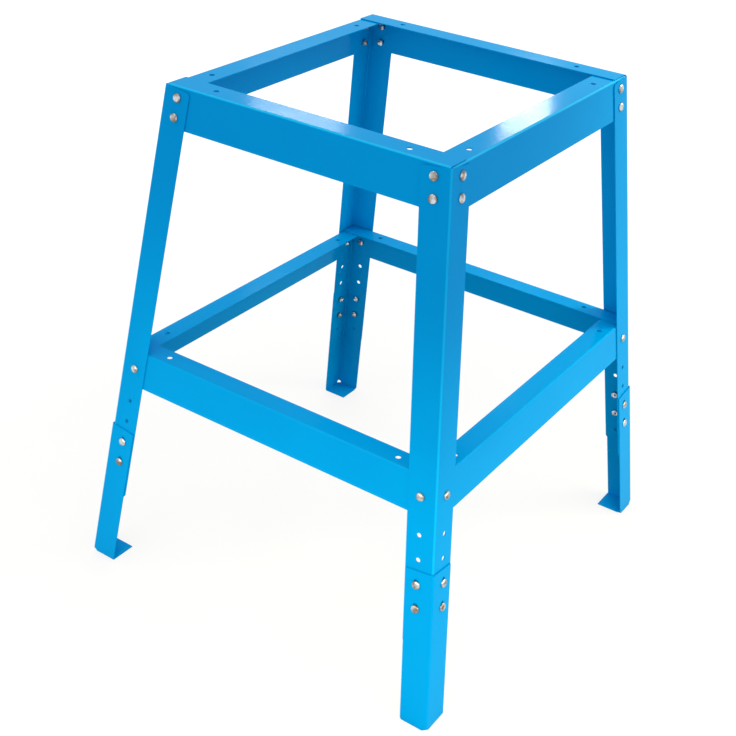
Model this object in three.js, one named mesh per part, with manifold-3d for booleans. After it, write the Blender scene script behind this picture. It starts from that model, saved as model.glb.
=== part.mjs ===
// Bench grinder stand of bent steel sheet: four splayed angle legs, an upper and a lower frame of angle rails,
// and on each leg a slotted extension that ends in a folded foot.
// Millimetres, +Z up. The origin is on the floor in the middle of the stand, and -Y is its front.

import * as THREE from 'three';
import { mergeVertices } from 'three/addons/utils/BufferGeometryUtils.js';
import Module from 'manifold-3d';

const wasm = await Module();
wasm.setup();

// Overall form
const standHeight = 800; // floor to the top of the upper frame
const topWidth = 460; // along X over the legs, at the top
const topDepth = 500; // along Y over the legs, at the top
const splayDegrees = 7; // lean of each of the four side faces
const lowerFrameTop = 388; // floor to the top of the lower frame

// Sheet
const sheet = 1.5; // thickness of every pressed piece
const bendInside = 1.5; // inside radius of every bend
const fitGap = 0.3; // clearance between pieces that are bolted together

// Legs
const legFlange = 45; // width of each flange of a leg and of its extension
const legTopDrop = 1; // from the top of the upper frame down to the leg's top end
const legCornerRadius = 5; // round free corners of the flanges
const boltLine = 25; // from the leg's outer corner to its line of holes
const upperBoltPitch = 28; // between the two bolts at an upper rail's end
const adjustingHoles = 5; // holes in each flange for setting the height
const adjustingPitch = 38; // between those holes, along the leg
const railToAdjusting = 58; // from the lower rail's bolt to the first of them
const legEndMargin = 22; // from the last of them to the leg's bottom end

// Rails
const railApron = 60; // slope length of a rail's apron
const upperFlange = 37; // width of an upper rail's level flange
const lowerFlange = 33; // width of a lower rail's level flange
const railEndGap = 1.5; // from the front and back rails' ends to the legs
const flangeHole = 8; // diameter of the hole near each end of a flange
const flangeHoleInset = 74; // from the leg's outer face to that hole

// Extensions
const firstBoltedHole = 3; // the adjusting hole, from the top, that takes an extension's upper bolt
const extensionTopMargin = 22; // from that bolt to the extension's top end
const slotTravel = 6; // how far an extension slides down on its loosened bolts
const footRelief = 6; // radius of the relief where the foot's three folds meet
const footCornerRadius = 4; // round bottom corner of the flange that isn't folded
const footSlit = 0.6; // between that flange and the foot plate

// Fasteners
const boltDiameter = 6;
const holeClearance = 1; // hole diameter less bolt diameter
const headDiameter = 13;
const headRim = 0.7; // height of the head's straight rim
const headHeight = 3.6;
const nutAcrossFlats = 10;
const nutHeight = 5;
const boltTip = 3; // length of bolt that shows beyond its nut
const tipChamfer = 0.8;

// Facets of the round forms
const bendSteps = 3; // each gives two facets of a bend
const holeSides = 10;
const boltSides = 10;
const domeSteps = 2;

// Side faces: each leans in by the splay, so a depth square to it has a longer level run
const splay = THREE.MathUtils.degToRad(splayDegrees);
const lean = Math.tan(splay);
const levelRun = (depth) => depth / Math.cos(splay);
const halfWidthAt = (height) => topWidth / 2 + lean * (standHeight - height);
const halfDepthAt = (height) => topDepth / 2 + lean * (standHeight - height);

// The front right leg's own frame: Z up its outer corner, X across flange A, the flange in the right face.
// Flange B, in the front face, is turned from A by the leg's angle, which is a little over square.
const up = new THREE.Vector3(-lean, lean, 1).normalize();
const acrossA = new THREE.Vector3(0, 1, 0).projectOnPlane(up).normalize();
const acrossB = new THREE.Vector3(-1, 0, 0).projectOnPlane(up).normalize();
const legAngle = acrossA.angleTo(acrossB);
const legTilt = new THREE.Matrix4().makeBasis(acrossA, new THREE.Vector3().crossVectors(up, acrossA), up);
const leanInFace = Math.asin(lean * up.z);

// Each flange's frame has Y up the leg and Z out of its face. Its free edge lies on the side given by its sign.
const flangeA = {
  sign: 1,
  frame: new THREE.Matrix4().makeRotationX(Math.PI / 2),
};
const flangeB = {
  sign: -1,
  frame: new THREE.Matrix4().makeRotationZ(legAngle - Math.PI).multiply(flangeA.frame),
};
const flanges = [flangeA, flangeB];

function onFlange(flange, across, along, out = 0) {
  const place = new THREE.Matrix4().makeTranslation(flange.sign * across, along, out);
  return place.premultiply(flange.frame);
}

// Sizes that follow from the driving ones
const bendOutside = bendInside + sheet;
const holeDiameter = boltDiameter + holeClearance;
const cutReach = 4 * sheet; // how far a cut runs to each side of the sheet that it goes through
const grip = 2 * sheet + 3 * fitGap; // two sheets with a clearance at every face
const apronMiddle = (railApron / 2) * Math.cos(splay);
const upperBoltDrop = (upperBoltPitch / 2) * Math.cos(splay);
const upperMiddle = standHeight - apronMiddle;
const upperBoltHeights = [upperMiddle + upperBoltDrop, upperMiddle - upperBoltDrop];
const lowerBoltHeight = lowerFrameTop - apronMiddle;

// Places along a leg are measured up from the level of the stand's top, so they are negative
const alongAtHeight = (height) => (height - standHeight - boltLine * acrossA.z) / up.z;
const upperBoltsAlong = upperBoltHeights.map(alongAtHeight);
const lowerBoltAlong = alongAtHeight(lowerBoltHeight);
const adjustingAlong = Array.from(
  { length: adjustingHoles },
  (_, index) => lowerBoltAlong - railToAdjusting - index * adjustingPitch,
);
const extensionBoltsAlong = adjustingAlong.slice(firstBoltedHole - 1, firstBoltedHole + 1);
const legEndAlong = adjustingAlong.at(-1) - legEndMargin;

// An extension lies one sheet and one clearance outside its leg, which shifts its corner along both flanges
const wrap = sheet + fitGap;
const wrapShift = wrap / Math.tan(legAngle / 2);
const extensionCorner = new THREE.Vector3(-wrapShift, -wrap, 0);
const extensionTopAlong = extensionBoltsAlong[0] + extensionTopMargin;
const floorAlong = -(standHeight + extensionCorner.clone().applyMatrix4(legTilt).z) / up.z;

// Solids from three.js geometry, and back
function solid(geometry) {
  geometry.deleteAttribute('normal');
  geometry.deleteAttribute('uv');
  const merged = mergeVertices(geometry);
  const mesh = new wasm.Mesh({
    numProp: 3,
    vertProperties: merged.getAttribute('position').array,
    triVerts: Uint32Array.from(merged.index.array),
  });
  return new wasm.Manifold(mesh);
}

function geometryOf(body) {
  const mesh = body.getMesh();
  const geometry = new THREE.BufferGeometry();
  geometry.setAttribute('position', new THREE.BufferAttribute(mesh.vertProperties, 3));
  geometry.setIndex(new THREE.BufferAttribute(mesh.triVerts, 1));
  geometry.computeVertexNormals();
  return geometry;
}

function extrude(shape, from, to) {
  const options = { depth: to - from, bevelEnabled: false, curveSegments: bendSteps };
  return solid(new THREE.ExtrudeGeometry(shape, options).translate(0, 0, from));
}

const placed = (body, matrix) => body.transform(matrix.elements);
const cutAway = (body, cutters) => cutters.reduce((left, cutter) => left.subtract(cutter), body);

// Directions along and into the second arm of an angle whose first arm runs along +X
const armDirection = (angle) => new THREE.Vector2(Math.cos(angle), Math.sin(angle));
const armInside = (angle) => new THREE.Vector2(Math.sin(angle), -Math.cos(angle));

// Section of a bent angle, with its sharp outer corner at the origin
function angleSection(armA, armB, angle) {
  const setback = bendOutside / Math.tan(angle / 2);
  const bendStart = 1.5 * Math.PI;
  const bendEnd = 0.5 * Math.PI + angle;
  const outerEnd = armDirection(angle).multiplyScalar(armB);
  const innerEnd = outerEnd.clone().addScaledVector(armInside(angle), sheet);
  const section = new THREE.Shape();
  section.moveTo(armA, 0);
  section.lineTo(armA, sheet);
  section.absarc(setback, bendOutside, bendInside, bendStart, bendEnd, true);
  section.lineTo(innerEnd.x, innerEnd.y);
  section.lineTo(outerEnd.x, outerEnd.y);
  section.absarc(setback, bendOutside, bendOutside, bendEnd, bendStart, false);
  return section;
}

// Section of the whole column between an extension's flanges, set in from their outer faces
function columnSection(inset) {
  const cornerX = inset / Math.tan(legAngle / 2);
  const setback = bendOutside / Math.tan(legAngle / 2);
  const reach = armDirection(legAngle).multiplyScalar(legFlange);
  const section = new THREE.Shape();
  section.moveTo(cornerX + legFlange, inset);
  section.lineTo(cornerX + legFlange + reach.x, inset + reach.y);
  section.lineTo(cornerX + reach.x, inset + reach.y);
  section.absarc(setback, bendOutside, bendOutside - inset, 0.5 * Math.PI + legAngle, 1.5 * Math.PI, false);
  return section;
}

// What is cut off to round a corner: the corner is at the origin, with the material between +X and the angle
function roundingSection(angle, radius) {
  const setback = radius / Math.tan(angle / 2);
  const sideEnd = armDirection(angle).multiplyScalar(setback);
  const beyondSide = sideEnd.clone().addScaledVector(armInside(angle), -radius);
  const beyondTip = armDirection(angle / 2).multiplyScalar(-radius / Math.sin(angle / 2));
  const section = new THREE.Shape();
  section.moveTo(setback, -radius);
  section.lineTo(setback, 0);
  section.absarc(setback, radius, radius, 1.5 * Math.PI, 0.5 * Math.PI + angle, true);
  section.lineTo(beyondSide.x, beyondSide.y);
  section.lineTo(beyondTip.x, beyondTip.y);
  return section;
}

// Cuts through one sheet, made about their own Z
function drill(diameter) {
  const rod = new THREE.CylinderGeometry(diameter / 2, diameter / 2, 2 * cutReach, holeSides);
  return solid(rod.rotateX(Math.PI / 2));
}

function slotCut() {
  const radius = holeDiameter / 2;
  const slot = new THREE.Shape();
  slot.absarc(0, 0, radius, Math.PI, 2 * Math.PI, false);
  slot.absarc(0, slotTravel, radius, 0, Math.PI, false);
  return extrude(slot, -cutReach, cutReach);
}

function cornerCut(angle, radius, turn) {
  const cut = extrude(roundingSection(angle, radius), -cutReach, cutReach);
  return placed(cut, new THREE.Matrix4().makeRotationZ(turn));
}

function legBody() {
  const body = extrude(angleSection(legFlange, legFlange, legAngle), legEndAlong, -legTopDrop);
  const holesAlong = [...upperBoltsAlong, lowerBoltAlong, ...adjustingAlong];
  const cutters = [];
  for (const flange of flanges) {
    for (const along of holesAlong) {
      cutters.push(placed(drill(holeDiameter), onFlange(flange, boltLine, along)));
    }
    const square = Math.PI / 2;
    const topTurn = flange.sign > 0 ? Math.PI : -square;
    const bottomTurn = flange.sign > 0 ? square : 0;
    const topCorner = onFlange(flange, legFlange, -legTopDrop);
    const bottomCorner = onFlange(flange, legFlange, legEndAlong);
    cutters.push(placed(cornerCut(square, legCornerRadius, topTurn), topCorner));
    cutters.push(placed(cornerCut(square, legCornerRadius, bottomTurn), bottomCorner));
  }
  return cutAway(body, cutters);
}

// The extension's foot frame: level, on the floor under its outer corner, turned as the stand is
const worldInLeg = legTilt.clone().invert();
const footFrame = new THREE.Matrix4().makeTranslation(0, 0, floorAlong).multiply(worldInLeg);

// The foot plate is folded from flange A, so that flange's bottom edge is round
function foldRounding() {
  const faceUp = new THREE.Vector3(-Math.sin(splay), 0, Math.cos(splay));
  const faceIn = new THREE.Vector3(-Math.cos(splay), 0, -Math.sin(splay));
  const edge = new THREE.Matrix4().makeBasis(faceUp, faceIn, new THREE.Vector3(0, -1, 0));
  const cut = extrude(roundingSection(Math.PI / 2 - splay, bendOutside), -2 * legFlange, legFlange);
  return placed(cut, edge.premultiply(footFrame));
}

function foldRelief() {
  const rod = new THREE.CylinderGeometry(footRelief, footRelief, 4 * bendOutside, holeSides);
  return placed(solid(rod.rotateZ(Math.PI / 4)), footFrame);
}

// Flange B only stands over the plate, so a slit parts them, and its free bottom corner is rounded
function flangeSlit() {
  const length = 2 * legFlange;
  const slit = new THREE.BoxGeometry(length, 2 * cutReach, footSlit);
  slit.translate(-length / 2 - footRelief / 2, 0, sheet + footSlit / 2);
  return placed(solid(slit), footFrame);
}

function freeCornerRounding() {
  const along = floorAlong - (legFlange * acrossB.z) / up.z;
  const cut = cornerCut(Math.PI / 2 + leanInFace, footCornerRadius, -leanInFace);
  return placed(cut, onFlange(flangeB, legFlange, along));
}

function extensionBody() {
  const belowFloor = floorAlong - legFlange;
  const floorNormal = new THREE.Vector3(0, 0, 1).transformDirection(worldInLeg);
  const floorOffset = floorNormal.z * floorAlong;
  const outside = extrude(columnSection(0), belowFloor, extensionTopAlong);
  const inside = extrude(columnSection(sheet), belowFloor, extensionTopAlong + cutReach);
  const floor = floorNormal.toArray();
  const shell = outside
    .trimByPlane(floor, floorOffset)
    .subtract(inside.trimByPlane(floor, floorOffset + sheet));
  const cutters = [foldRounding(), foldRelief(), flangeSlit(), freeCornerRounding()];
  for (const flange of flanges) {
    for (const along of extensionBoltsAlong) {
      cutters.push(placed(slotCut(), onFlange(flange, boltLine + wrapShift, along)));
    }
  }
  return cutAway(shell, cutters);
}

// A rail's own frame: X inwards across its flange, Y down, Z along it from its middle
function railBody({ flange, halfLength, halfSpan, top, boltHeights }) {
  const apronAngle = Math.PI / 2 + splay;
  const body = extrude(angleSection(flange, railApron, apronAngle), -halfLength, halfLength);
  const cutters = [];
  for (const end of [-1, 1]) {
    const level = new THREE.Matrix4().makeRotationX(Math.PI / 2);
    level.setPosition(flange / 2, 0, end * (halfSpan(top) - flangeHoleInset));
    cutters.push(placed(drill(flangeHole), level));
    for (const height of boltHeights) {
      const slope = (top - height + wrap * Math.sin(splay)) / Math.cos(splay);
      const onApron = armDirection(apronAngle).multiplyScalar(slope);
      const across = new THREE.Matrix4().makeRotationZ(splay);
      across.multiply(new THREE.Matrix4().makeRotationY(Math.PI / 2));
      across.setPosition(onApron.x, onApron.y, end * (halfSpan(height) - boltLine / Math.cos(leanInFace)));
      cutters.push(placed(drill(holeDiameter), across));
    }
  }
  return cutAway(body, cutters);
}

// A mushroom-headed bolt with its nut, about Z: the head's underside at 0 and the shank below it
function boltBody() {
  const radius = boltDiameter / 2;
  const tipEnd = -grip - nutHeight - boltTip;
  const profile = [
    new THREE.Vector2(0, tipEnd),
    new THREE.Vector2(radius - tipChamfer, tipEnd),
    new THREE.Vector2(radius, tipEnd + tipChamfer),
    new THREE.Vector2(radius, 0),
    new THREE.Vector2(headDiameter / 2, 0),
  ];
  for (let step = 0; step <= domeSteps; step += 1) {
    const angle = ((step / domeSteps) * Math.PI) / 2;
    const rise = headRim + (headHeight - headRim) * Math.sin(angle);
    const out = step === domeSteps ? 0 : (headDiameter / 2) * Math.cos(angle);
    profile.push(new THREE.Vector2(out, rise));
  }
  const bolt = solid(new THREE.LatheGeometry(profile, boltSides).rotateX(Math.PI / 2));
  const cornerRadius = nutAcrossFlats / 2 / Math.cos(Math.PI / 6);
  const hexagon = new THREE.CylinderGeometry(cornerRadius, cornerRadius, nutHeight, 6);
  const nut = solid(hexagon.rotateX(Math.PI / 2).translate(0, 0, -grip - nutHeight / 2));
  return bolt.add(nut);
}

// Finishes
const enamel = new THREE.MeshStandardMaterial({ color: 0x0a8fd2, roughness: 0.3, metalness: 0 });
const zinc = new THREE.MeshStandardMaterial({ color: 0xc9ccd0, roughness: 0.25, metalness: 1 });

function piece(name, geometry, material) {
  const mesh = new THREE.Mesh(geometry, material);
  mesh.name = name;
  return mesh;
}

const stand = new THREE.Group();

// Corners in the order of quarter turns about Z, with the faces that flanges A and B lie in
const corners = [
  { name: 'front_right', x: 1, y: -1, faces: ['right', 'front'], ends: ['front', 'right'] },
  { name: 'back_right', x: 1, y: 1, faces: ['back', 'right'], ends: ['right', 'back'] },
  { name: 'back_left', x: -1, y: 1, faces: ['left', 'back'], ends: ['back', 'left'] },
  { name: 'front_left', x: -1, y: -1, faces: ['front', 'left'], ends: ['left', 'front'] },
];
const legGeometry = geometryOf(legBody());
const extensionGeometry = geometryOf(extensionBody());
const boltGeometry = geometryOf(boltBody());

corners.forEach((corner, turn) => {
  const post = new THREE.Group();
  post.position.set((corner.x * topWidth) / 2, (corner.y * topDepth) / 2, standHeight);
  post.rotation.z = (turn * Math.PI) / 2;
  const leaning = new THREE.Group();
  leaning.setRotationFromMatrix(legTilt);
  post.add(leaning);
  stand.add(post);

  leaning.add(piece(`${corner.name}_leg`, legGeometry, enamel));
  const extension = piece(`${corner.name}_extension`, extensionGeometry, enamel);
  extension.position.copy(extensionCorner);
  leaning.add(extension);

  const addBolt = (name, flange, along, seat) => {
    const bolt = piece(name, boltGeometry, zinc);
    onFlange(flange, boltLine, along, seat).decompose(bolt.position, bolt.quaternion, bolt.scale);
    leaning.add(bolt);
  };
  flanges.forEach((flange, side) => {
    const label = `${corner.faces[side]}_face_${corner.ends[side]}`;
    upperBoltsAlong.forEach((along, index) => {
      addBolt(`${label}_upper_bolt_${index + 1}`, flange, along, fitGap);
    });
    addBolt(`${label}_lower_bolt`, flange, lowerBoltAlong, fitGap);
    extensionBoltsAlong.forEach((along, index) => {
      addBolt(`${label}_extension_bolt_${index + 1}`, flange, along, wrap + fitGap);
    });
  });
});

// Front and back rails run between the legs. The side rails lie under their flanges and stop inside their aprons.
const frames = [
  { name: 'upper', top: standHeight, flange: upperFlange, boltHeights: upperBoltHeights },
  { name: 'lower', top: lowerFrameTop, flange: lowerFlange, boltHeights: [lowerBoltHeight] },
];
const railTurn = new THREE.Matrix4().makeBasis(
  new THREE.Vector3(0, 1, 0),
  new THREE.Vector3(0, 0, -1),
  new THREE.Vector3(-1, 0, 0),
);

function addRailPair(names, rail, spanAcross) {
  const geometry = geometryOf(railBody(rail));
  names.forEach(({ name, turn }) => {
    const side = new THREE.Group();
    side.rotation.z = (turn * Math.PI) / 2;
    const mesh = piece(name, geometry, enamel);
    mesh.setRotationFromMatrix(railTurn);
    mesh.position.set(0, levelRun(wrap) - spanAcross(rail.top), rail.top);
    side.add(mesh);
    stand.add(side);
  });
}

for (const { name, top, flange, boltHeights } of frames) {
  const longRail = {
    flange,
    top,
    boltHeights,
    halfSpan: halfWidthAt,
    halfLength: halfWidthAt(top) - levelRun(sheet) - railEndGap,
  };
  const sideTop = top - wrap;
  const sideRail = {
    flange,
    top: sideTop,
    boltHeights,
    halfSpan: halfDepthAt,
    halfLength: halfDepthAt(sideTop) - levelRun(wrap + sheet) - bendInside - fitGap,
  };
  addRailPair([{ name: `front_${name}_rail`, turn: 0 }, { name: `back_${name}_rail`, turn: 2 }], longRail, halfDepthAt);
  addRailPair([{ name: `right_${name}_rail`, turn: 1 }, { name: `left_${name}_rail`, turn: 3 }], sideRail, halfWidthAt);
}

export default stand;
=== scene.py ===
"""Looks of the bench grinder stand: bent and bolted sheet in gloss blue enamel, with zinc-plated bolts and nuts."""

import math

import bmesh
import bpy
from mathutils import Matrix, Vector


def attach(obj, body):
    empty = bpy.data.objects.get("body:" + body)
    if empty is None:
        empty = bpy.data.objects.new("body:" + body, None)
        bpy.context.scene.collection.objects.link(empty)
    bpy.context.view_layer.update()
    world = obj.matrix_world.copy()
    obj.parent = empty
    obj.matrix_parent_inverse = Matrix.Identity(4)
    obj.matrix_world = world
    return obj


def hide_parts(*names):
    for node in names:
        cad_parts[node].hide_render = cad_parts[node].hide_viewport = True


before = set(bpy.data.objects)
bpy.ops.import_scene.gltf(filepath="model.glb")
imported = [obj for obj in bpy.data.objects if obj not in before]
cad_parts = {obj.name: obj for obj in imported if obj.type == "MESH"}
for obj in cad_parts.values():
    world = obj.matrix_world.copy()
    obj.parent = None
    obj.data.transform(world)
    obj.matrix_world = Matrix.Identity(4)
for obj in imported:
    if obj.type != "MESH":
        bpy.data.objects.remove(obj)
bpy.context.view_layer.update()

# Sizes in millimetres and degrees, the same as those of the solids
STAND_HEIGHT = 800
TOP_WIDTH = 460
TOP_DEPTH = 500
SPLAY = math.radians(7)
LOWER_FRAME_TOP = 388
SHEET = 1.5
BEND_OUTSIDE = 3.0
FIT_GAP = 0.3
LEG_FLANGE = 45
LEG_TOP_DROP = 1
LEG_CORNER_RADIUS = 5
BOLT_LINE = 25
UPPER_BOLT_PITCH = 28
ADJUSTING_HOLES = 5
ADJUSTING_PITCH = 38
RAIL_TO_ADJUSTING = 58
LEG_END_MARGIN = 22
RAIL_APRON = 60
UPPER_FLANGE = 37
LOWER_FLANGE = 33
RAIL_END_GAP = 1.5
FLANGE_HOLE = 8
FLANGE_HOLE_INSET = 74
FIRST_BOLTED_HOLE = 3
BOLT_DIAMETER = 6
HOLE_DIAMETER = 7
HEAD_DIAMETER = 13
HEAD_RIM = 0.7
HEAD_HEIGHT = 3.6
NUT_ACROSS_FLATS = 10
NUT_HEIGHT = 5
BOLT_TIP = 3

# Fine form that only the looks have
PAINTED_EDGE = 0.3  # round that the enamel gives each cut edge
THREAD_PITCH = 1.0
THREAD_DEPTH = 0.45
TIP_TAPER = 0.72  # share of the thread's width left at the very end
NUT_CHAMFER = 0.7
HEAD_EDGE = 0.25
ROUND_SIDES = 32
SHANK_SIDES = 24
DOME_STEPS = 7
BEND_STEPS = 8
CORNER_STEPS = 6
EDGE_STEPS = 2
SHEET_CREASE = math.radians(50)  # sheet edges sharper than this are rounded, and shade sharp
BOLT_CREASE = math.radians(40)
FLAT_WITHIN = math.radians(0.5)
CUT_REACH = 6  # how far a cutter goes to either side of the sheet's face
NEAR = 1e-3
BEND_HIGHLIGHT_MARK = "bend"
# How strongly each kind of bend shows its painted highlight, as a share of the strongest
LEG_BEND_HIGHLIGHT = 0.55
UPPER_BEND_HIGHLIGHT = 1.0
LOWER_BEND_HIGHLIGHT = 0.2

# Places that follow from the sizes
LEAN = math.tan(SPLAY)
WRAP = SHEET + FIT_GAP
GRIP = 2 * SHEET + 3 * FIT_GAP
UP = Vector((-LEAN, LEAN, 1)).normalized()
ACROSS_A = (Vector((0, 1, 0)) - UP * UP.y).normalized()
ACROSS_B = (Vector((-1, 0, 0)) + UP * UP.x).normalized()
LEG_ANGLE = ACROSS_A.angle(ACROSS_B)
LEG_TILT = Matrix((ACROSS_A, UP.cross(ACROSS_A), UP)).transposed().to_4x4()
LEAN_IN_FACE = math.asin(LEAN * UP.z)


def along_at_height(height):
    return (height - STAND_HEIGHT - BOLT_LINE * ACROSS_A.z) / UP.z


APRON_MIDDLE = RAIL_APRON / 2 * math.cos(SPLAY)
BOLT_DROP = UPPER_BOLT_PITCH / 2 * math.cos(SPLAY)
UPPER_BOLT_HEIGHTS = [STAND_HEIGHT - APRON_MIDDLE + BOLT_DROP, STAND_HEIGHT - APRON_MIDDLE - BOLT_DROP]
LOWER_BOLT_HEIGHT = LOWER_FRAME_TOP - APRON_MIDDLE
UPPER_BOLTS_ALONG = [along_at_height(height) for height in UPPER_BOLT_HEIGHTS]
LOWER_BOLT_ALONG = along_at_height(LOWER_BOLT_HEIGHT)
FIRST_ADJUSTING = LOWER_BOLT_ALONG - RAIL_TO_ADJUSTING
ADJUSTING_ALONG = [FIRST_ADJUSTING - step * ADJUSTING_PITCH for step in range(ADJUSTING_HOLES)]
EXTENSION_BOLTS_ALONG = ADJUSTING_ALONG[FIRST_BOLTED_HOLE - 1 : FIRST_BOLTED_HOLE + 1]
LEG_END_ALONG = ADJUSTING_ALONG[-1] - LEG_END_MARGIN

# Each flange of a leg: Y up the leg, Z out of the face, and its free edge on the side of the sign
FLANGE_A = (1, Matrix.Rotation(math.pi / 2, 4, "X"))
FLANGE_B = (-1, Matrix.Rotation(LEG_ANGLE - math.pi, 4, "Z") @ FLANGE_A[1])


def on_flange(flange, across, along, out=0):
    sign, face = flange
    return face @ Matrix.Translation((sign * across, along, out))


def half_width_at(height):
    return TOP_WIDTH / 2 + LEAN * (STAND_HEIGHT - height)


def half_depth_at(height):
    return TOP_DEPTH / 2 + LEAN * (STAND_HEIGHT - height)


# Modelling by hand, in millimetres; a finished piece is turned to metres when it is placed


def new_mesh(add, **settings):
    bpy.ops.object.select_all(action="DESELECT")
    add(**settings)
    return bpy.context.active_object


def pick(obj, mode, test):
    """Selects, in edit mode, the vertices, edges or faces whose points all pass the test."""
    bpy.ops.object.mode_set(mode="EDIT")
    bpy.ops.mesh.select_mode(type=mode)
    bpy.ops.mesh.select_all(action="DESELECT")
    mesh = bmesh.from_edit_mesh(obj.data)
    if mode == "VERT":
        for vert in mesh.verts:
            vert.select_set(test(vert.co))
    else:
        for element in mesh.edges if mode == "EDGE" else mesh.faces:
            element.select_set(all(test(vert.co) for vert in element.verts))
    bmesh.update_edit_mesh(obj.data)


def apply_modifier(obj, kind, **settings):
    modifier = obj.modifiers.new(kind.title(), kind)
    for name, value in settings.items():
        setattr(modifier, name, value)
    bpy.ops.object.select_all(action="DESELECT")
    bpy.context.view_layer.objects.active = obj
    obj.select_set(True)
    bpy.ops.object.modifier_apply(modifier=modifier.name)


def extrude_by(offset):
    bpy.ops.mesh.extrude_region_move(TRANSFORM_OT_translate={"value": offset})


def is_near(value, target):
    return abs(value - target) < NEAR


def bent_skin(arm_a, arm_b, angle, low, high):
    """Outer skin of a bent angle: its outer corner on Z, arm A along +X and arm B turned from it by the angle."""
    skin = new_mesh(
        bpy.ops.mesh.primitive_plane_add,
        size=1,
        location=(arm_a / 2, 0, (low + high) / 2),
        rotation=(math.pi / 2, 0, 0),
    )
    skin.scale = (arm_a, high - low, 1)
    bpy.ops.object.transform_apply(location=True, rotation=True, scale=True)
    pick(skin, "EDGE", lambda co: is_near(co.x, 0))
    extrude_by((arm_b * math.cos(angle), arm_b * math.sin(angle), 0))
    pick(skin, "EDGE", lambda co: is_near(co.x, 0) and is_near(co.y, 0))
    bpy.ops.mesh.bevel(offset=BEND_OUTSIDE / math.tan(angle / 2), segments=BEND_STEPS, affect="EDGES")
    return skin


def thicken(skin):
    """Gives the skin its sheet on the inside of the bend, where arm A's face looks along -Y."""
    bpy.ops.object.mode_set(mode="EDIT")
    bpy.ops.mesh.select_all(action="SELECT")
    bpy.ops.mesh.normals_make_consistent(inside=False)
    bpy.ops.object.mode_set(mode="OBJECT")
    flange_a = max(
        (face for face in skin.data.polygons if abs(face.normal.y) > 0.99),
        key=lambda face: face.area,
    )
    if flange_a.normal.y > 0:
        bpy.ops.object.mode_set(mode="EDIT")
        bpy.ops.mesh.flip_normals()
        bpy.ops.object.mode_set(mode="OBJECT")
    apply_modifier(skin, "SOLIDIFY", thickness=SHEET, offset=-1, use_even_offset=True)


def round_cutter(diameter, place):
    cutter = new_mesh(
        bpy.ops.mesh.primitive_cylinder_add, vertices=ROUND_SIDES, radius=diameter / 2, depth=2 * CUT_REACH
    )
    cutter.matrix_world = place
    bpy.ops.object.transform_apply(location=True, rotation=True, scale=True)
    return cutter


def join(pieces):
    bpy.ops.object.select_all(action="DESELECT")
    for piece in pieces:
        piece.select_set(True)
    bpy.context.view_layer.objects.active = pieces[0]
    bpy.ops.object.join()
    return pieces[0]


def cut_away(piece, cutters):
    tool = join(cutters)
    apply_modifier(piece, "BOOLEAN", object=tool, operation="DIFFERENCE", solver="EXACT")
    bpy.data.objects.remove(tool)


def finish_sheet(piece, edge=PAINTED_EDGE):
    """Rounds the cut edges as the enamel does, and shades the bends smooth."""
    apply_modifier(
        piece,
        "BEVEL",
        width=edge,
        segments=EDGE_STEPS,
        limit_method="ANGLE",
        angle_limit=SHEET_CREASE,
        use_clamp_overlap=True,
    )
    bpy.ops.object.shade_smooth_by_angle(angle=SHEET_CREASE)
    apply_modifier(piece, "WEIGHTED_NORMAL", keep_sharp=True, weight=100)


def paint_bend_highlight(piece, angle, highlight_strength):
    """Notes how strongly the painted highlight shows on the outer skin round the bend: from 0 where the bend starts to
    full in its middle.
    """
    start = BEND_OUTSIDE / math.tan(angle / 2)
    middle = BEND_OUTSIDE / math.sin(angle / 2) - BEND_OUTSIDE
    marks = piece.data.attributes.new(BEND_HIGHLIGHT_MARK, "FLOAT", "POINT")
    for vert, mark in zip(piece.data.vertices, marks.data):
        mark.value = highlight_strength * min(max((start - vert.co.xy.length) / (start - middle), 0), 1)


def make_leg():
    leg = bent_skin(LEG_FLANGE, LEG_FLANGE, LEG_ANGLE, LEG_END_ALONG, -LEG_TOP_DROP)
    near_free_edge = LEG_FLANGE - 0.2
    pick(leg, "VERT", lambda co: max(co.x, co.y) > near_free_edge)
    bpy.ops.mesh.bevel(offset=LEG_CORNER_RADIUS, segments=CORNER_STEPS, affect="VERTICES")
    thicken(leg)
    holes = [*UPPER_BOLTS_ALONG, LOWER_BOLT_ALONG, *ADJUSTING_ALONG]
    cut_away(
        leg,
        [
            round_cutter(HOLE_DIAMETER, on_flange(flange, BOLT_LINE, along))
            for flange in (FLANGE_A, FLANGE_B)
            for along in holes
        ],
    )
    finish_sheet(leg)
    paint_bend_highlight(leg, LEG_ANGLE, LEG_BEND_HIGHLIGHT)
    return leg


def finish_extension(node):
    """The pressed extension in the shape of its solid, with its facets merged and its edges rounded."""
    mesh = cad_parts[node].data.copy()
    extension = bpy.data.objects.new(node + "_finished", mesh)
    bpy.context.scene.collection.objects.link(extension)
    bpy.ops.object.select_all(action="DESELECT")
    bpy.context.view_layer.objects.active = extension
    extension.select_set(True)
    bpy.ops.object.mode_set(mode="EDIT")
    bpy.ops.mesh.select_all(action="SELECT")
    bpy.ops.mesh.remove_doubles(threshold=1e-5)
    bpy.ops.mesh.dissolve_limited(angle_limit=FLAT_WITHIN)
    bpy.ops.object.mode_set(mode="OBJECT")
    finish_sheet(extension, PAINTED_EDGE / 1000)
    return extension


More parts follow.
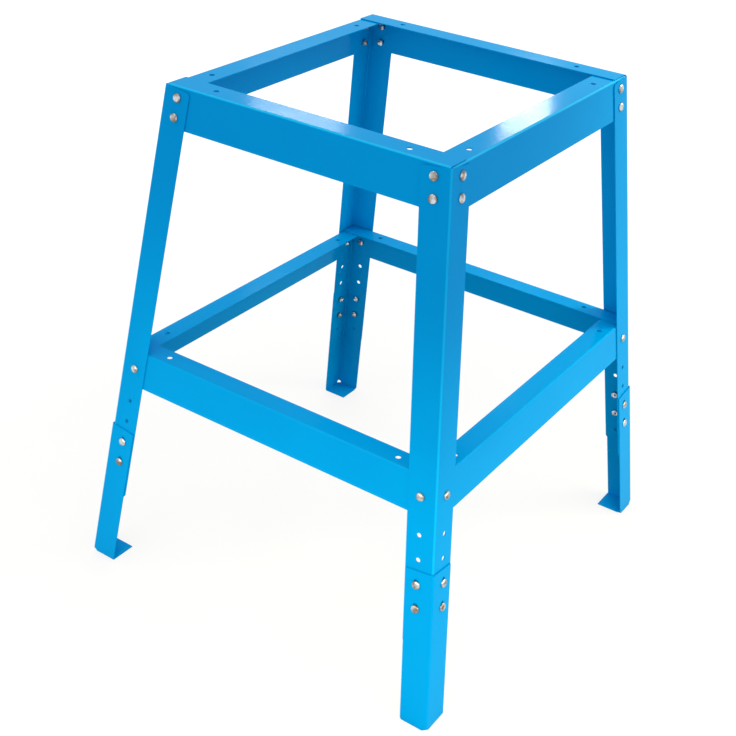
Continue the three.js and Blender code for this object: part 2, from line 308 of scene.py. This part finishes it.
def make_rail(flange, top, half_length, half_span, bolt_heights, highlight_strength):
    """An angle with X inwards across its flange, Y down and Z along it from its middle."""
    apron_angle = math.pi / 2 + SPLAY
    rail = bent_skin(flange, RAIL_APRON, apron_angle, -half_length, half_length)
    thicken(rail)
    cutters = []
    for end in (-1, 1):
        hole_at = (flange / 2, 0, end * (half_span(top) - FLANGE_HOLE_INSET))
        cutters.append(round_cutter(FLANGE_HOLE, Matrix.Translation(hole_at) @ FLANGE_A[1]))
        for height in bolt_heights:
            slope = (top - height + WRAP * math.sin(SPLAY)) / math.cos(SPLAY)
            along = end * (half_span(height) - BOLT_LINE / math.cos(LEAN_IN_FACE))
            hole_at = (slope * math.cos(apron_angle), slope * math.sin(apron_angle), along)
            across = Matrix.Rotation(SPLAY, 4, "Z") @ Matrix.Rotation(math.pi / 2, 4, "Y")
            cutters.append(round_cutter(HOLE_DIAMETER, Matrix.Translation(hole_at) @ across))
    cut_away(rail, cutters)
    finish_sheet(rail)
    paint_bend_highlight(rail, apron_angle, highlight_strength)
    return rail


def make_bolt():
    """A mushroom-headed bolt about Z with its nut: the head's underside at 0 and the threaded shank below it."""
    head = new_mesh(
        bpy.ops.mesh.primitive_cylinder_add,
        vertices=ROUND_SIDES,
        radius=HEAD_DIAMETER / 2,
        depth=HEAD_RIM,
        location=(0, 0, HEAD_RIM / 2),
    )
    bpy.ops.object.transform_apply(location=True)
    pick(head, "FACE", lambda co: is_near(co.z, HEAD_RIM))
    dome = HEAD_HEIGHT - HEAD_RIM
    last_radius, last_rise = 1.0, 0.0
    for step in range(1, DOME_STEPS):
        turn = step / DOME_STEPS * math.pi / 2
        radius, rise = math.cos(turn), math.sin(turn)
        extrude_by((0, 0, dome * (rise - last_rise)))
        shrink = radius / last_radius
        bpy.ops.transform.resize(value=(shrink, shrink, 1), center_override=(0, 0, 0))
        last_radius, last_rise = radius, rise
    extrude_by((0, 0, dome * (1 - last_rise)))
    bpy.ops.mesh.merge(type="CENTER")
    pick(head, "EDGE", lambda co: is_near(co.z, 0))
    bpy.ops.mesh.bevel(offset=HEAD_EDGE, segments=EDGE_STEPS, affect="EDGES")
    bpy.ops.object.mode_set(mode="OBJECT")

    # The shank is drawn out one half thread at a time, wide and narrow in turn
    tip_end = -GRIP - NUT_HEIGHT - BOLT_TIP
    shank = new_mesh(
        bpy.ops.mesh.primitive_circle_add, vertices=SHANK_SIDES, radius=BOLT_DIAMETER / 2, fill_type="NGON"
    )
    pick(shank, "FACE", lambda co: True)
    extrude_by((0, 0, -GRIP))
    narrow = 1 - 2 * THREAD_DEPTH / BOLT_DIAMETER
    turns = int((NUT_HEIGHT + BOLT_TIP) / THREAD_PITCH)
    for half_turn in range(2 * turns):
        extrude_by((0, 0, -THREAD_PITCH / 2))
        scale = narrow if half_turn % 2 == 0 else 1 / narrow
        bpy.ops.transform.resize(value=(scale, scale, 1), center_override=(0, 0, 0))
    pick(shank, "VERT", lambda co: is_near(co.z, tip_end))
    bpy.ops.transform.resize(value=(TIP_TAPER, TIP_TAPER, 1), center_override=(0, 0, tip_end))
    bpy.ops.object.mode_set(mode="OBJECT")

    nut = new_mesh(
        bpy.ops.mesh.primitive_cylinder_add,
        vertices=6,
        radius=NUT_ACROSS_FLATS / 2 / math.cos(math.pi / 6),
        depth=NUT_HEIGHT,
        location=(0, 0, -GRIP - NUT_HEIGHT / 2),
    )
    bpy.ops.object.transform_apply(location=True)
    for end in (-GRIP, -GRIP - NUT_HEIGHT):
        pick(nut, "FACE", lambda co: is_near(co.z, end))
        bpy.ops.mesh.bevel(offset=NUT_CHAMFER / 2, segments=EDGE_STEPS, affect="EDGES")
    bpy.ops.object.mode_set(mode="OBJECT")

    bolt = join([head, shank, nut])
    bpy.ops.object.mode_set(mode="EDIT")
    bpy.ops.mesh.select_all(action="SELECT")
    bpy.ops.mesh.normals_make_consistent(inside=False)
    bpy.ops.object.mode_set(mode="OBJECT")
    bpy.ops.object.shade_smooth_by_angle(angle=BOLT_CREASE)
    return bolt


# Finishes


def srgb(code):
    channels = [int(code[place : place + 2], 16) / 255 for place in (1, 3, 5)]
    linear = [c / 12.92 if c <= 0.04045 else ((c + 0.055) / 1.055) ** 2.4 for c in channels]
    return (*linear, 1)


def add_node(tree, kind, inputs=(), **settings):
    node = tree.nodes.new(kind)
    for name, value in settings.items():
        setattr(node, name, value)
    for socket, value in dict(inputs).items():
        if isinstance(value, bpy.types.NodeSocket):
            tree.links.new(value, node.inputs[socket])
        else:
            node.inputs[socket].default_value = value
    return node


def new_material(name):
    material = bpy.data.materials.new(name)
    material.use_nodes = True
    material.node_tree.nodes.clear()
    return material, material.node_tree


def waves_per_metre(millimetres):
    return 1000 / millimetres


def gloss_blue_enamel():
    """Stoved enamel on steel: a clear saturated blue with wet gloss, a faint orange peel and slow drifts in depth."""
    material, tree = new_material("gloss_blue_enamel")
    place = add_node(tree, "ShaderNodeTexCoord").outputs["Object"]
    drift = add_node(
        tree, "ShaderNodeTexNoise", {"Vector": place, "Scale": waves_per_metre(160), "Detail": 2, "Roughness": 0.5}
    )
    colour = add_node(
        tree,
        "ShaderNodeMix",
        {"Factor": drift.outputs["Fac"], "A": srgb("#0088CC"), "B": srgb("#0092D5")},
        data_type="RGBA",
    )
    # The bends are painted a paler blue as a painted highlight along each bend, and are given a higher specular level
    bend = add_node(tree, "ShaderNodeAttribute", attribute_name=BEND_HIGHLIGHT_MARK).outputs["Fac"]
    bend_highlight_colour = add_node(
        tree,
        "ShaderNodeMix",
        {"Factor": bend, "A": colour.outputs["Result"], "B": srgb("#00B6EE")},
        data_type="RGBA",
    )
    shine = add_node(tree, "ShaderNodeMapRange", {"Value": bend, "To Min": 0.015, "To Max": 0.15})
    # Real orange peel is about 1.5 mm across; it is drawn at 4 mm so that it shows at all
    peel = add_node(
        tree, "ShaderNodeTexNoise", {"Vector": place, "Scale": waves_per_metre(4), "Detail": 2, "Roughness": 0.4}
    )
    bump = add_node(tree, "ShaderNodeBump", {"Height": peel.outputs["Fac"], "Strength": 0.06, "Distance": 0.0004})
    haze = add_node(
        tree, "ShaderNodeTexNoise", {"Vector": place, "Scale": waves_per_metre(35), "Detail": 3, "Roughness": 0.6}
    )
    gloss = add_node(
        tree, "ShaderNodeMapRange", {"Value": haze.outputs["Fac"], "To Min": 0.08, "To Max": 0.16}
    )
    skin = add_node(
        tree,
        "ShaderNodeBsdfPrincipled",
        {
            "Base Color": bend_highlight_colour.outputs["Result"],
            "Roughness": gloss.outputs["Result"],
            "Normal": bump.outputs["Normal"],
            "IOR": 1.5,
            "Specular IOR Level": shine.outputs["Result"],
        },
    )
    add_node(tree, "ShaderNodeOutputMaterial", {"Surface": skin.outputs["BSDF"]})
    return material


def bright_zinc():
    """Zinc plate with a clear passivate: bright cool metal, clouded in places by dull warm-brown patches that are
    painted reflections of dark surroundings.
    """
    material, tree = new_material("bright_zinc_plate")
    place = add_node(tree, "ShaderNodeTexCoord").outputs["Object"]
    cloud = add_node(
        tree, "ShaderNodeTexNoise", {"Vector": place, "Scale": waves_per_metre(9), "Detail": 3, "Roughness": 0.5}
    )
    # Painted reflection: the dull brown patches stand in for the dark surroundings that the domed heads mirror
    painted_reflection = add_node(
        tree, "ShaderNodeMapRange", {"Value": cloud.outputs["Fac"], "From Min": 0.42, "From Max": 0.62}
    )
    colour = add_node(
        tree,
        "ShaderNodeMix",
        {"Factor": painted_reflection.outputs["Result"], "A": srgb("#CDD0D2"), "B": srgb("#85796A")},
        data_type="RGBA",
    )
    gloss = add_node(
        tree, "ShaderNodeMapRange", {"Value": painted_reflection.outputs["Result"], "To Min": 0.16, "To Max": 0.34}
    )
    skin = add_node(
        tree,
        "ShaderNodeBsdfPrincipled",
        {"Base Color": colour.outputs["Result"], "Roughness": gloss.outputs["Result"], "Metallic": 1.0},
    )
    add_node(tree, "ShaderNodeOutputMaterial", {"Surface": skin.outputs["BSDF"]})
    return material


ENAMEL = gloss_blue_enamel()
ZINC = bright_zinc()


def dress(piece, node, body, material):
    piece.data.materials.clear()
    piece.data.materials.append(material)
    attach(piece, body)
    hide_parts(node)


def place_copy(model, node, place, material):
    """A copy of a modelled piece with its own mesh, in metres, where its CAD node is."""
    piece = model.copy()
    piece.data = model.data.copy()
    piece.name = node + "_finished"
    bpy.context.scene.collection.objects.link(piece)
    piece.data.transform(Matrix.Scale(0.001, 4) @ place)
    dress(piece, node, "stand", material)


leg_model = make_leg()
bolt_model = make_bolt()

# Corners in the order of quarter turns about Z: name, place, and the face and end that flanges A and B lie in
CORNERS = [
    ("front_right", (1, -1), ("right_face_front", "front_face_right")),
    ("back_right", (1, 1), ("back_face_right", "right_face_back")),
    ("back_left", (-1, 1), ("left_face_back", "back_face_left")),
    ("front_left", (-1, -1), ("front_face_left", "left_face_front")),
]
for turn, (corner, (side_x, side_y), faces) in enumerate(CORNERS):
    at = (side_x * TOP_WIDTH / 2, side_y * TOP_DEPTH / 2, STAND_HEIGHT)
    post = Matrix.Translation(at) @ Matrix.Rotation(turn * math.pi / 2, 4, "Z") @ LEG_TILT
    place_copy(leg_model, f"{corner}_leg", post, ENAMEL)
    extension = f"{corner}_extension"
    dress(finish_extension(extension), extension, extension, ENAMEL)
    for flange, face in zip((FLANGE_A, FLANGE_B), faces):
        bolts = [(f"upper_bolt_{step + 1}", along, FIT_GAP) for step, along in enumerate(UPPER_BOLTS_ALONG)]
        bolts.append(("lower_bolt", LOWER_BOLT_ALONG, FIT_GAP))
        for step, along in enumerate(EXTENSION_BOLTS_ALONG):
            bolts.append((f"extension_bolt_{step + 1}", along, WRAP + FIT_GAP))
        for name, along, seat in bolts:
            bolt_at = post @ on_flange(flange, BOLT_LINE, along, seat)
            place_copy(bolt_model, f"{face}_{name}", bolt_at, ZINC)

RAIL_TURN = Matrix(((0, 0, -1, 0), (1, 0, 0, 0), (0, -1, 0, 0), (0, 0, 0, 1)))
# Each frame's last entry is how strongly the bends of its rails show the painted highlight
FRAMES = [
    ("upper", STAND_HEIGHT, UPPER_FLANGE, UPPER_BOLT_HEIGHTS, UPPER_BEND_HIGHLIGHT),
    ("lower", LOWER_FRAME_TOP, LOWER_FLANGE, [LOWER_BOLT_HEIGHT], LOWER_BEND_HIGHLIGHT),
]
rail_models = []
for level, top, flange, bolt_heights, highlight_strength in FRAMES:
    side_top = top - WRAP
    long_half = half_width_at(top) - SHEET / math.cos(SPLAY) - RAIL_END_GAP
    side_half = half_depth_at(side_top) - (WRAP + SHEET) / math.cos(SPLAY) - (BEND_OUTSIDE - SHEET) - FIT_GAP
    long_rail = make_rail(flange, top, long_half, half_width_at, bolt_heights, highlight_strength)
    side_rail = make_rail(flange, side_top, side_half, half_depth_at, bolt_heights, highlight_strength)
    rail_models += [long_rail, side_rail]
    for turn, face in enumerate(("front", "right", "back", "left")):
        is_long = turn % 2 == 0
        rail_top = top if is_long else side_top
        span = half_depth_at(rail_top) if is_long else half_width_at(rail_top)
        at = (0, WRAP / math.cos(SPLAY) - span, rail_top)
        place = Matrix.Rotation(turn * math.pi / 2, 4, "Z") @ Matrix.Translation(at) @ RAIL_TURN
        model = long_rail if is_long else side_rail
        place_copy(model, f"{face}_{level}_rail", place, ENAMEL)

for model in [leg_model, bolt_model, *rail_models]:
    bpy.data.objects.remove(model)

# Studio: a white floor that keeps the shadow, a white surround, and soft boxes, in metres and watts
FLOOR_SIZE = 30
FLOOR_GLOW_SHARE = 0.8
NEAR_FLOOR, FAR_FLOOR = 0.5, 2.0
NEAR_GLOW, FAR_GLOW = 0.95, 1.22
UNDER_STAND, BESIDE_STAND = 0.32, 0.5
SURROUND_LIGHT = 0.95  # light that the surround throws on things; looked at, it is plain white


def seen_directly(tree):
    """1 for what is looked at, also in a mirror or through glass, and 0 for light that only falls on things."""
    rays = add_node(tree, "ShaderNodeLightPath").outputs
    mirrored = add_node(
        tree, "ShaderNodeMath", {0: rays["Is Camera Ray"], 1: rays["Is Glossy Ray"]}, operation="MAXIMUM"
    )
    seen = add_node(
        tree, "ShaderNodeMath", {0: mirrored.outputs[0], 1: rays["Is Transmission Ray"]}, operation="MAXIMUM"
    )
    return seen.outputs[0]


def white_floor():
    """Matt white paper sweep: it shows white, keeps the stand's shadow, and throws little light up inside the stand."""
    material, tree = new_material("white_paper_sweep")
    seen = seen_directly(tree)
    share = add_node(tree, "ShaderNodeMath", {0: seen, 1: FLOOR_GLOW_SHARE}, operation="MULTIPLY")
    place = add_node(tree, "ShaderNodeTexCoord").outputs["Object"]
    away = add_node(tree, "ShaderNodeVectorMath", {0: place}, operation="LENGTH").outputs["Value"]
    glow = add_node(
        tree,
        "ShaderNodeMapRange",
        {
            "Value": away,
            "From Min": NEAR_FLOOR,
            "From Max": FAR_FLOOR,
            "To Min": NEAR_GLOW,
            "To Max": FAR_GLOW,
        },
    )
    open_floor = add_node(
        tree, "ShaderNodeMapRange", {"Value": away, "From Min": UNDER_STAND, "From Max": BESIDE_STAND}
    )
    bounce = add_node(tree, "ShaderNodeMath", {0: open_floor.outputs["Result"], 1: seen}, operation="MAXIMUM")
    shade = add_node(
        tree,
        "ShaderNodeMix",
        {"Factor": bounce.outputs[0], "A": srgb("#101010"), "B": srgb("#F4F4F4")},
        data_type="RGBA",
    )
    paper = add_node(tree, "ShaderNodeBsdfDiffuse", {"Color": shade.outputs["Result"]})
    white = add_node(tree, "ShaderNodeEmission", {"Color": srgb("#FFFFFF"), "Strength": glow.outputs["Result"]})
    mixed = add_node(
        tree, "ShaderNodeMixShader", {0: share.outputs[0], 1: paper.outputs[0], 2: white.outputs[0]}
    )
    add_node(tree, "ShaderNodeOutputMaterial", {"Surface": mixed.outputs[0]})
    return material


floor = new_mesh(bpy.ops.mesh.primitive_plane_add, size=FLOOR_SIZE)
floor.name = "floor"
floor.data.materials.append(white_floor())

world = bpy.data.worlds.new("white_surround")
bpy.context.scene.world = world
world.use_nodes = True
world.node_tree.nodes.clear()
strength = add_node(
    world.node_tree,
    "ShaderNodeMapRange",
    {"Value": seen_directly(world.node_tree), "To Min": SURROUND_LIGHT, "To Max": 1.0},
)
surround = add_node(
    world.node_tree, "ShaderNodeBackground", {"Color": srgb("#FFFFFF"), "Strength": strength.outputs["Result"]}
)
add_node(world.node_tree, "ShaderNodeOutputWorld", {"Surface": surround.outputs[0]})


def soft_box(name, at, aim, size, watts, colour="#FFFFFF", spread=180):
    bpy.ops.object.select_all(action="DESELECT")
    bpy.ops.object.light_add(type="AREA", location=at)
    box = bpy.context.active_object
    box.name = name
    box.data.shape = "RECTANGLE"
    box.data.size, box.data.size_y = size
    box.data.energy = watts
    box.data.spread = math.radians(spread)
    box.data.color = srgb(colour)[:3]
    box.rotation_euler = (Vector(aim) - Vector(at)).to_track_quat("-Z", "Y").to_euler()


# The strips near the floor brighten the feet and the leg box brightens the back right leg; all three are warm.
# The glare boxes stand where the top flanges mirror them.
WARM_WHITE = "#FFF6CE"
soft_box("overhead_box", (-0.35, 0.25, 1.9), (-0.1, 0.1, 0.8), (1.1, 1.1), 6.5, WARM_WHITE)
soft_box("front_strip", (0.2, -0.8, 0.5), (0.2, -0.36, 0.05), (1.1, 0.25), 1.8, WARM_WHITE, 120)
soft_box("right_strip", (0.8, 0, 0.5), (0.36, 0, 0.05), (1.3, 0.25), 2.3, WARM_WHITE, 120)
soft_box("right_leg_box", (0.62, 0.6, 1.15), (0.25, 0.29, 0.6), (0.2, 0.2), 0.55, WARM_WHITE, 60)
soft_box("left_glare_box", (-1.695, 2.0, 1.81), (0, -0.2, 0.8), (0.33, 0.16), 2.6)
soft_box("right_glare_box", (-0.79, 2.0, 1.56), (0.2, 0, 0.8), (0.15, 0.13), 2.2)

# Camera from the photograph's perspective
CAMERA_AT = Vector((0.923672, -1.481911, 1.353063))
YAW, PITCH, ROLL = (math.radians(angle) for angle in (32.854, 30.68, 3.589))
FOCAL_PIXELS = 1252.805
IMAGE_PIXELS = 736
SENSOR_WIDTH = 36
forward = Vector((-math.sin(YAW) * math.cos(PITCH), math.cos(YAW) * math.cos(PITCH), -math.sin(PITCH)))
level_right = Vector((math.cos(YAW), math.sin(YAW), 0))
level_up = level_right.cross(forward)
right = level_right * math.cos(ROLL) + level_up * math.sin(ROLL)
upright = level_up * math.cos(ROLL) - level_right * math.sin(ROLL)
bpy.ops.object.camera_add(location=CAMERA_AT)
camera = bpy.context.active_object
camera.name = "photo_camera"
camera.matrix_world = Matrix.Translation(CAMERA_AT) @ Matrix((right, upright, -forward)).transposed().to_4x4()
camera.data.sensor_width = SENSOR_WIDTH
camera.data.lens = SENSOR_WIDTH * FOCAL_PIXELS / IMAGE_PIXELS
bpy.context.scene.camera = camera
bpy.context.scene.view_settings.view_transform = "Standard"
